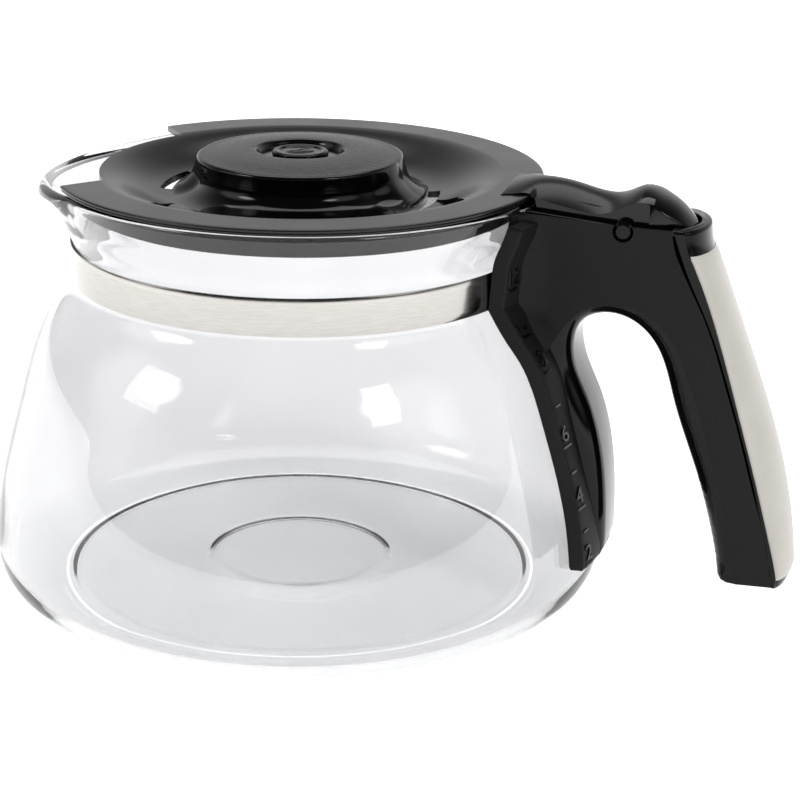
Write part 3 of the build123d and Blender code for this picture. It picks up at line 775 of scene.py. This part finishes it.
def make_spine():
    """Cover along the grip's back, ending at the top in a rounded hood behind the lever."""
    rows = [p for p in inlay_line if inlay_low.z + 1.0 < p[1] < hood_line[0][1] - 0.8]
    first_hood = len(rows)
    step, least_wall = 0.02, 0.4
    rows += hood_line
    inset = [0.0] * len(rows)
    inset[-4:] = [0.05, 0.2, 0.5, 0.9]
    inset[:3] = [0.9, 0.35, 0.1]

    def outer(i, y, z):
        proud = inlay_proud if i < first_hood else inlay_proud * (1 - (i - first_hood + 1) / 8)
        return min(back_depth(y, z) + proud, grip_depth(z) + 0.2) + inset[i]

    def inner(i, y, z):
        plain = grip_depth(z) + 0.6
        room = rows[i][0] - hood_room_x(y, z)
        return max(min(plain, room), outer(i, y, z) + least_wall)

    # points just either side of the room's flat sides
    sides = [side * (channel_half + d) for side in (-1, 1) for d in (-step, step)]
    cover = strip(rows, lambda i: handle_half - 0.5 * inset[i], outer, inner, 60, sides)
    spine = closed("handle_back", *cover, gloss_black, 40)
    finish_piece(spine, "jug", "black_plastic", "handle_spine")


def hood_room_x(y, z):
    """How far back the room inside the hood reaches: it is round about the hinge pin."""
    flat_r, nose_r = 9.5, 16.9
    if abs(y) >= channel_half or abs(z - pin_z) >= flat_r:
        return 0.0
    r = flat_r + (nose_r - flat_r) * sqrt(1 - (y / channel_half) ** 2)
    return pin_x + sqrt(r * r - (z - pin_z) ** 2)


def make_inlay():
    """A pale strip wrapped over the grip's rounded back, with soft edges."""
    line = [p for p in inlay_line if p[1] > inlay_low.z + 2.4]
    last = len(line) - 1
    soft, thickness = 0.35, 1.4

    def outer(i, y, z):
        edge = inlay_half - abs(y)
        drop = soft * (1 - min(edge / soft, 1.0)) ** 2
        return back_depth(y, z) + drop + (soft if i in (0, last) else 0.0)

    def inner(i, y, z):
        return back_depth(y, z) + thickness

    pale = strip(line, lambda i: inlay_half, outer, inner, 60)
    inlay = closed("handle_inlay_strip", *pale, cream, 40)
    finish_piece(inlay, "jug", "cream_plastic", "handle_inlay")


# ---- lid ----
dish = table([(33.0, lid_floor_z), (37.0, 101.35), (43.0, 104.0), (48.0, 105.8), (50.0, lid_z)])
# The finger pocket's two ends: the angle in degrees at each radius.
pocket_left = table(
    [(34.0, -138), (37.0, -134), (41.0, -127), (44.0, -122), (46.6, -118), (49.3, -117)]
)
pocket_right = table(
    [(35.0, 0), (37.5, -3), (40.0, -5), (42.5, -10), (45.0, -17), (47.3, -19.5), (49.3, -22)]
)


def pocket_share(r, angle, margin):
    """1 under the finger pocket, 0 elsewhere, with a slope between."""
    phi = degrees(atan2(sin(angle), cos(angle)))
    per_degree = radians(max(r, 20.0))
    tip = ramp((pocket_right(r) - phi) * per_degree, -margin - 2.2, -margin + 0.4)
    end = ramp((phi - pocket_left(r)) * per_degree, -margin - 2.2, -margin + 0.4)
    return tip * end * (1 - ramp(r, pocket_r + margin, pocket_r + margin + 0.4))


def pocket_outline():
    """The finger pocket in plan."""
    left, right = pocket_left(pocket_r), pocket_right(pocket_r)
    outline = arc(0, 0, pocket_r, np.linspace(left, right, 100))
    outline += [polar(r, pocket_right(r)) for r in np.linspace(49.0, 35.0, 29)]
    outline += [(0, -8), (-20, -14)]
    outline += [polar(r, pocket_left(r)) for r in np.linspace(33.5, 49.0, 32)]
    return outline


def lid_top(r):
    return lid_floor_z if r < 33.0 else (lid_z if r > 50.0 else dish(r))


def lid_bottom(r, angle):
    plain = lid_floor_z if r < 34.0 else (lid_z if r > 51.0 else dish(r - 0.8))
    return plain + (lid_floor_z - plain) * pocket_share(r, angle, 1.4) - lid_thickness


def make_lid():
    """The dished disc, with the spout's notch, the finger pocket and two inlets cut out."""
    edge = 0.35
    radii = [4, 12, 20, 26, 30, 32, 33.5, 35, 36.5, 38, 39.5, 41, 42.5, 44, 45.3, 46.5, 47.6]
    radii += [48.5, 49.2, 49.8, 50.3, 51.2, 53, 55, 57, 58.4]
    lower = [58.8, 57, 54, 52.2, 51.4, 51.15, 51.0, 50.8]
    lower += [*np.arange(50.4, 32.9, -0.5), 28, 20, 10]
    # how far in and down the fine groove round the edge goes
    groove = [(0, 0.62), (0.1, 0.72), (0.5, 0.78), (0.5, 0.92), (0.3, 1.0), (0.25, 1.15)]
    groove += [(0.28, 1.32), (0.5, lid_thickness)]
    rim = arc(lid_r - edge, lid_z - edge, edge, np.linspace(90, 0, 6))
    rim += [(lid_r - x, lid_z - z) for x, z in groove]

    def section(angle):
        line = [(0, lid_floor_z)]
        line += [(r, lid_top(r)) for r in radii]
        line += rim
        line += [(r, lid_bottom(r, angle)) for r in lower]
        return line + [(0, lid_floor_z - lid_thickness)]

    points, faces = revolve(section, 480)
    disc = build("lid_dish", points, faces, [lid_black])
    far_r, far_x, half_angle = lid_r + 6, -80, 37.7
    corner, other = polar(far_r, 180 + half_angle), polar(far_r, 180 - half_angle)
    notch = arc(0, 0, 49.0, np.linspace(180 - 33.2, 180 + 33.2, 41))
    notch += [corner, (far_x, corner[1]), (far_x, other[1]), other]
    cutters = [prism(notch, 90, 115), prism(pocket_outline(), lid_floor_z + 0.02, 115)]
    for middle in (0, 180):
        inlet = arc(0, 0, 34.5, np.linspace(middle - 16, middle + 16, 21))
        inlet += arc(0, 0, 31.5, np.linspace(middle + 16, middle - 16, 21))
        cutters.append(prism(inlet, 95, 110))
    cut(disc, cutters)
    coat(disc, lid_black)
    finish_piece(disc, "lid", "lid_plastic", "lid_disc")
    make_tongue()
    make_label_frame()


def make_tongue():
    """The lid's hinge arm under the lever, with two seats for the lever's screws."""
    nose_r, hole_r = 4.4, 2.4
    outline = [(56.0, 104.6), (62.4, 104.6), (79.5, 97.1)]
    outline += arc(pin_x, pin_z, nose_r, np.linspace(-125, 30, 20))
    outline += [(80.0, 103.5), (62.0, 106.0), (56.0, 106.0)]
    tongue = build("lid_tongue", *slab(resample(outline, 1.2), 6.9, lambda x, z: 0.4, 4))
    seats = [
        prism(circle(x, 0, hole_r, 32), 90, seat) for x, seat in ((67.5, 103.9), (74.5, 102.4))
    ]
    cut(tongue, [pin_hole(hole_r, 9), *seats])
    coat(tongue, lid_black)
    finish_piece(tongue, "lid", "lid_plastic")


def make_label_frame():
    """A plain raised frame on the pocket's floor."""
    low_r, high_r = 30.0, 33.0
    middle_r = (low_r + high_r) / 2

    def loop(inset):
        turn = degrees(inset / middle_r)
        angles = np.linspace(-108 + turn, -70 - turn, 30)
        return arc(0, 0, high_r - inset, angles) + arc(0, 0, low_r + inset, angles[::-1])

    frame_solid = annulus(loop(0.0), loop(0.4), lid_floor_z - 0.3, lid_floor_z + 0.3)
    finish_piece(closed("lid_label_frame", *frame_solid, lid_black, 32), "lid", "lid_plastic")


def make_knob():
    """Pinched knob: a grained flat top, coved flanks, and wings that run down to the inlets."""
    # each flank's circle passes through its two ends and its widest point
    end_x, end_y, blend = 24.5, 8.0, 0.35
    rise = knob_high.y - end_y
    flank_r = (end_x**2 + rise**2) / (2 * rise)
    centre = knob_high.y - flank_r

    def outline_r(angle):
        """The smaller of the knob's circle and its flank circle, blended where they cross."""
        b = abs(sin(angle)) * centre
        reach = b + sqrt(max(b * b + flank_r**2 - centre**2, 0.0))
        return -blend * np.log(np.exp(-knob_r / blend) + np.exp(-reach / blend))

    shoulder = [(-2.2, 0.30), (-0.9, 0.22), (-0.25, -0.05), (0.0, -0.55)]
    flank = [(-0.15, -1.2), (-0.6, -2.6), (-0.9, -4.2), (-0.6, -5.8)]
    flank += [(0.6, -7.3), (2.6, -8.4), (5.0, -8.95), (7.0, -9.12)]
    wing = [(0.25, -1.3), (0.6, -2.4), (1.1, -3.9), (1.9, -5.4)]
    wing += [(3.2, -6.9), (4.6, -7.8), (5.6, -8.3), (5.9, -9.12)]
    top_z, dome_z, edge_z = knob_high.z, 110.93, 109.6

    def section(angle):
        share = 1 - ramp(abs(sin(angle)), 0.22, 0.50)
        r0 = outline_r(angle)
        mixed = [
            (r0 + a[0] + (b[0] - a[0]) * share, edge_z + a[1] + (b[1] - a[1]) * share)
            for a, b in zip(shoulder + flank, shoulder + wing)
        ]
        side = spline(mixed, None, None, 5)
        recess = [(0, 109.4), (5, 109.4), (9.6, 109.4), (10.2, 109.5), (10.6, 110.1), (10.8, 110.7)]
        recess += [(11.1, top_z - 0.08), (11.7, top_z), (14.0, dome_z)]
        inner = r0 - 2.2
        for k in (0.25, 0.5, 0.75):
            r = 14.0 + (inner - 14.0) * k
            recess.append((r, dome_z + (edge_z + 0.30 - dome_z) * (k**1.6)))
        last = side[-1]
        return recess + side + [(last[0] * 0.9, last[1] - 0.3), (0, last[1] - 0.3)]

    points, faces = revolve(section, 300)
    knob = closed("lid_knob_body", points, faces, knob_black, 40)
    coat(knob, knob_black, grained_black)
    for polygon in knob.data.polygons:
        grained = polygon.normal.z > 0.85 and polygon.center.z > (edge_z + 0.15) * MM
        polygon.material_index = 1 if grained else 0
    finish_piece(knob, "lid", "knob_plastic", "lid_knob")


def make_badge():
    """The round disc in the knob's recess, with a raised ring near its edge."""
    low, high, r = badge_low.z, badge_high.z, badge_high.x
    # radius and depth of the disc's face
    face = [(3.0, 0.4), (4.6, 0.4), (5.0, 0.3), (5.3, 0.1), (5.6, 0.0), (6.2, 0.0), (6.6, 0.12)]
    top = [(x, high - depth) for x, depth in [*face, (r, 0.5)]]
    line = [(0, high - 0.4)] + spline(top, (1, 0), (0, -1), 4) + [(r, low), (0, low)]
    points, faces = revolve(lambda a: line, 96)
    badge = closed("knob_emblem_disc", points, faces, gloss_black, 50)
    finish_piece(badge, "lid", "knob_plastic", "knob_badge")
    make_bean(high)


def make_bean(high):
    """A coffee bean in low relief in the middle of the badge."""
    length, width, height, turn = 3.6, 2.5, 0.4, radians(35)
    crease_depth, crease_width, crease_sway = 0.22, 0.13, 0.22
    rings, columns = 16, 48
    points, base = [(0.0, 0.0, high - 0.25)], high - height - 0.02
    for i in range(1, rings + 1):
        share = i / rings
        for j in range(columns):
            a = 2 * pi * j / columns
            u, v = share * cos(a), share * sin(a)
            off = (v - crease_sway * sin(pi * u)) / crease_width
            crease = crease_depth * np.exp(-(off**2)) * (1 - share**4)
            z = base + height * sqrt(max(1 - share**2, 0.0)) - crease
            x, y = length * u, width * v
            points.append((x * cos(turn) - y * sin(turn), x * sin(turn) + y * cos(turn), z))
    points.append((0.0, 0.0, base - 0.1))
    bottom = len(points) - 1
    faces = [(0, 1 + j, 1 + (j + 1) % columns) for j in range(columns)]
    faces += loop_faces(rings, columns, first=1)
    last = 1 + (rings - 1) * columns
    faces += [(last + (j + 1) % columns, last + j, bottom) for j in range(columns)]
    bean = closed("knob_emblem_bean", points, faces, gloss_black, 60)
    finish_piece(bean, "lid", "knob_plastic")


# ---- thumb lever ----
crest_at = table([
    (52.6, 106.9), (56.0, 107.9), (60.0, 108.5), (68.0, 107.9), (76.0, 106.0), (80.0, 106.0),
    (85.5, 108.1), (90.0, 106.9), (94.0, 104.6), (98.2, 100.4),
])
crown_edge_at = table([
    (52.6, 106.3), (57.5, 106.15), (60.0, 105.6), (64.0, 104.6), (68.4, 103.7), (74.0, 102.75),
    (76.5, 102.8), (80.8, 104.4), (83.5, 105.6), (85.5, 106.2), (88.0, 105.5), (91.0, 103.6),
    (94.5, 101.3), (98.2, 99.5),
])
lever_bottom_at = table([
    (52.6, 105.6), (60.5, 105.4), (61.6, 101.0), (70.0, 99.6), (79.0, 96.6), (82.5, 95.4),
    (86.4, 97.4), (90.6, 99.9), (98.2, 99.2),
])
crest_x = 85.5
lever_nose_x = 98.1
wing_x = 62.0
tail_x = 87.0
tongue_room = [(80.0, 103.5), (62.0, 106.1), (59.0, 106.1), (59.0, 90.0), (92.0, 90.0), (89.5, 101.5)]


def lever_half_at(x):
    """Half-width: thin wings at the front, an egg-shaped tail behind."""
    half = lever_half
    if x < wing_x:
        half += (lever_wing_half - lever_half) * ((wing_x - x) / 9.0) ** 1.4
    if x > tail_x:
        half *= (1 - ((x - tail_x) / 11.3) ** 2.6) ** 0.5
    return min(half, lever_wing_half)


def make_lever():
    """The lever: rows from its front edge to its tail, each with a crown, two sides and a base."""
    front = lever_low.x
    round_front = 0.7
    stations = [*np.linspace(front, front + round_front, 5), *np.linspace(54.2, crest_x, 56)]
    stations += [*np.linspace(crest_x + 0.4, lever_nose_x, 46)]
    points = []
    around = 40
    for x in stations:
        half = lever_half_at(x)
        crest, edge, bottom = crest_at(x), crown_edge_at(x), lever_bottom_at(x)
        if x < front + round_front:
            share = (front + round_front - x) / round_front
            drop = 0.5 * (1 - sqrt(max(1 - share**2, 0)))
            half -= drop
            crest -= drop
            edge -= drop * 0.3
        edge = max(edge, bottom + 0.1)
        tail = ramp(x, crest_x, crest_x + 4.0)
        loop = []
        for k in range(around + 1):
            u = cos(pi * k / around)
            crowned = 1 - abs(u) ** 2.1
            rounded = (1 - abs(u) ** 2.2) ** 0.6
            loop.append((half * u, edge + (crest - edge) * (crowned + (rounded - crowned) * tail)))
        loop += [(-half, bottom), (half, bottom)]
        points += [(x, y, z) for y, z in loop]
    lever = build("thumb_lever_body", points, capped(len(stations), len(loop)))
    cut(lever, [prism(tongue_room, -7.1, 7.1, "Y"), pin_hole(2.4, 12)])
    coat(lever, satin_black, knob_black)
    for polygon in lever.data.polygons:
        c = polygon.center / MM
        top = c.z > crown_edge_at(c.x) + 0.02 and c.x < crest_x and abs(polygon.normal.y) < 0.97
        polygon.material_index = 0 if top else 1
    soften(lever, 24)
    finish_piece(lever, "lid", "lever_plastic", "thumb_lever")


# ---- cup scale on the flange ----
def flange_face(z):
    """Radius of the flange's outer face at a height."""
    line = side_wall(flange_gap + flange_thickness)
    if z < 79:
        return float(np.interp(z, [p[1] for p in line], [p[0] for p in line]))
    return neck_r + 0.9 + flange_gap + flange_thickness


def on_flange(across, z, proud):
    """A point on the flange's outer face, across from the handle's plane."""
    r = flange_face(z) + proud
    return (sqrt(r * r - across * across), across, z)


scale_marks = [("2", 20.6), ("4", 35.0), ("6", 50.4), ("8", 68.6), ("10", 77.2), ("12", 88.2)]
scale_ticks = [26.2, 41.0, 57.5]
numeral_size = 5.4
line_half = 0.28
scale_middle = -17.7
upper_middle = -18.6


def numeral(text, middle, z):
    """One raised number on the flange's face as points and faces."""
    curve = bpy.data.curves.new("numeral", "FONT")
    curve.body = text
    curve.size = numeral_size
    curve.extrude = 0.3
    curve.bevel_depth = 0.06
    curve.align_x = "CENTER"
    curve.align_y = "CENTER"
    curve.resolution_u = 4
    source = new_object("numeral", curve)
    dg = bpy.context.evaluated_depsgraph_get()
    mesh = bpy.data.meshes.new_from_object(source.evaluated_get(dg))
    wide = 1.35 if len(text) == 1 else 1.0
    points = [on_flange(middle + wide * v.co.x, z + v.co.y, v.co.z) for v in mesh.vertices]
    faces = [tuple(p.vertices) for p in mesh.polygons]
    bpy.data.objects.remove(source)
    bpy.data.curves.remove(curve)
    bpy.data.meshes.remove(mesh)
    return points, faces


def bar(middle, z, half):
    """One raised line on the flange's face."""
    left, right, low, high = middle - half, middle + half, z - line_half, z + line_half
    corners = [(left, low), (right, low), (right, high), (left, high)]
    points = [on_flange(u, v, proud) for proud in (-0.3, line_half) for u, v in corners]
    return points, [(0, 1, 5, 4), (1, 2, 6, 5), (2, 3, 7, 6), (3, 0, 4, 7), (3, 2, 1, 0), (4, 5, 6, 7)]


def make_scale():
    """Raised cup numbers with a line under each, and short ticks between them."""
    solids = []
    for text, z in scale_marks:
        middle = scale_middle if z < 72 else upper_middle
        solids.append(numeral(text, middle, z))
        solids.append(bar(middle, z - 2.9, 2.0))
    solids += [bar(scale_middle, z, 1.3) for z in scale_ticks]
    scale = build("cup_scale", *merged(*solids), [gloss_black], smooth=30)
    finish_piece(scale, "jug", "black_plastic")


make_glass()
make_band()
make_handle()
make_panels()
make_flange()
make_spine()
make_inlay()
make_lid()
make_knob()
make_badge()
make_lever()
make_scale()

# CAD nodes whose shape is right keep it and get a finished surface.
screws = ("band_screw", "spine_screw_upper", "spine_screw_lower", "lever_screw_front", "lever_screw_rear")
for node in ("barrel_nut", *screws):
    coat(frame["nodes"][node], screw_steel)
coat(frame["nodes"]["lid_collar"], collar_black)
coat(frame["nodes"]["hinge_pin"], gloss_black)


# ---- studio ----
def make_floor():
    """A wide white table that glows more away from the object, so that the background is white, and less
    under it: a painted shadow under the jug.
    """
    half = 6.0
    corners = [(-half, -half, 0), (half, -half, 0), (half, half, 0), (-half, half, 0)]
    mesh = bpy.data.meshes.new("studio_floor")
    mesh.from_pydata(corners, [], [(0, 1, 2, 3)])
    floor = new_object("studio_floor", mesh)
    material, nodes, links, shader = new_material("studio_white")
    white = tint(nodes, links, noise(nodes, links, 3, 2), (0.88, 0.88, 0.88), (0.90, 0.90, 0.90))
    links.new(white, shader.inputs["Base Color"])
    set_inputs(shader, Roughness=0.9, Specular_IOR_Level=0.0, Emission_Color=(1, 1, 1, 1))
    coordinates = add(nodes, "TexCoord")
    distance = add(nodes, "VectorMath")
    distance.operation = "LENGTH"
    links.new(coordinates.outputs["Object"], distance.inputs[0])
    # the weaker glow near the middle is a painted shadow under the jug
    glow_with_painted_shadow = add(nodes, "MapRange", From_Min=0.12, From_Max=0.6, To_Min=0.62, To_Max=1.0)
    links.new(distance.outputs["Value"], glow_with_painted_shadow.inputs["Value"])
    links.new(glow_with_painted_shadow.outputs["Result"], shader.inputs["Emission Strength"])
    mesh.materials.append(material)


def soft_box(name, place, aim, width, height, power):
    """A rectangular light at a place, turned towards its aim. Places and sizes are in metres."""
    light = bpy.data.lights.new(name, "AREA")
    light.shape = "RECTANGLE"
    light.size = width
    light.size_y = height
    light.energy = power
    obj = new_object(name, light)
    obj.location = place
    obj.rotation_euler = (Vector(aim) - Vector(place)).to_track_quat("-Z", "Y").to_euler()


def glow_added(nodes, links, coordinates, colour, place, angles, strength):
    """The colour with a soft round glow added in the direction of a place."""
    towards = Vector(place).normalized()
    dot = add(nodes, "VectorMath")
    dot.operation = "DOT_PRODUCT"
    links.new(coordinates.outputs["Generated"], dot.inputs[0])
    dot.inputs[1].default_value = towards
    wide, narrow = (cos(radians(a)) for a in angles)
    share = add(nodes, "MapRange", From_Min=wide, From_Max=narrow, To_Max=strength)
    share.interpolation_type = "SMOOTHSTEP"
    links.new(dot.outputs["Value"], share.inputs["Value"])
    added = add(nodes, "VectorMath")
    added.operation = "ADD"
    links.new(colour, added.inputs[0])
    links.new(share.outputs["Result"], added.inputs[1])
    return added.outputs["Vector"]


def make_world():
    """Soft room light: bright behind the object near the horizon, dark above and in front."""
    world = bpy.data.worlds.new("studio")
    bpy.context.scene.world = world
    world.use_nodes = True
    nodes, links = world.node_tree.nodes, world.node_tree.links
    coordinates = add(nodes, "TexCoord")
    split = add(nodes, "SeparateXYZ")
    links.new(coordinates.outputs["Generated"], split.inputs[0])
    shares = []
    for axis, low, high, at_low, at_high in (("Y", -0.35, 0.75, 0.0, 1.0), ("Z", 0.15, 0.75, 1.0, 0.15)):
        node = add(nodes, "MapRange", From_Min=low, From_Max=high, To_Min=at_low, To_Max=at_high)
        node.interpolation_type = "SMOOTHSTEP"
        links.new(split.outputs[axis], node.inputs["Value"])
        shares.append(node.outputs["Result"])
    product = add(nodes, "Math")
    product.operation = "MULTIPLY"
    links.new(shares[0], product.inputs[0])
    links.new(shares[1], product.inputs[1])
    colour = add(nodes, "ValToRGB")
    colour.color_ramp.elements[0].color = (0.045, 0.045, 0.047, 1)
    colour.color_ramp.elements[1].color = (0.80, 0.80, 0.81, 1)
    links.new(product.outputs[0], colour.inputs["Fac"])
    total = colour.outputs["Color"]
    # two large soft glows, left and right in front of the object
    for place, wide, narrow, strength in (
        ((-1.1, -0.55, 0.5), 26, 6, 1.2),
        ((1.1, -0.45, 0.5), 24, 6, 1.0),
        ((-0.9, -0.75, 0.62), 11, 4, 7.0),
        ((0.95, -0.7, 0.62), 9, 3, 7.0),
    ):
        total = glow_added(nodes, links, coordinates, total, place, (wide, narrow), strength)
    links.new(total, nodes["Background"].inputs["Color"])


def make_studio():
    make_floor()
    make_world()
    soft_box("top_box", (-0.1, 0.35, 1.3), (0, 0, 0.05), 1.3, 0.9, 10.0)
    soft_box("left_box", (-1.0, -0.75, 0.65), (0, 0, 0.06), 0.40, 0.55, 3.8)
    soft_box("right_box", (1.0, -0.7, 0.7), (0.05, 0, 0.06), 0.30, 0.55, 3.8)
    # the side boxes' own reflections come from the soft glows in the world
    for name in ("left_box", "right_box"):
        bpy.data.objects[name].visible_glossy = False
    view = bpy.context.scene.view_settings
    view.view_transform = "Standard"
    view.look = "None"


def make_camera():
    """The photograph's viewing angle."""
    yaw, pitch, roll = radians(-14.421), radians(19.481), radians(0.955)
    forward = Vector((sin(yaw) * cos(pitch), cos(yaw) * cos(pitch), -sin(pitch)))
    right = Vector((cos(yaw), -sin(yaw), 0))
    up = right.cross(forward)
    camera_x = right * cos(roll) + up * sin(roll)
    camera_y = up * cos(roll) - right * sin(roll)
    camera = new_object("camera", bpy.data.cameras.new("camera"))
    camera.data.lens = 94.0
    camera.data.sensor_width = 36.0
    camera.data.clip_start = 0.01
    camera.matrix_world = Matrix((camera_x, camera_y, -forward)).transposed().to_4x4()
    camera.location = Vector((149.84, -480.61, 223.90)) * MM
    bpy.context.scene.camera = camera


make_studio()
make_camera()
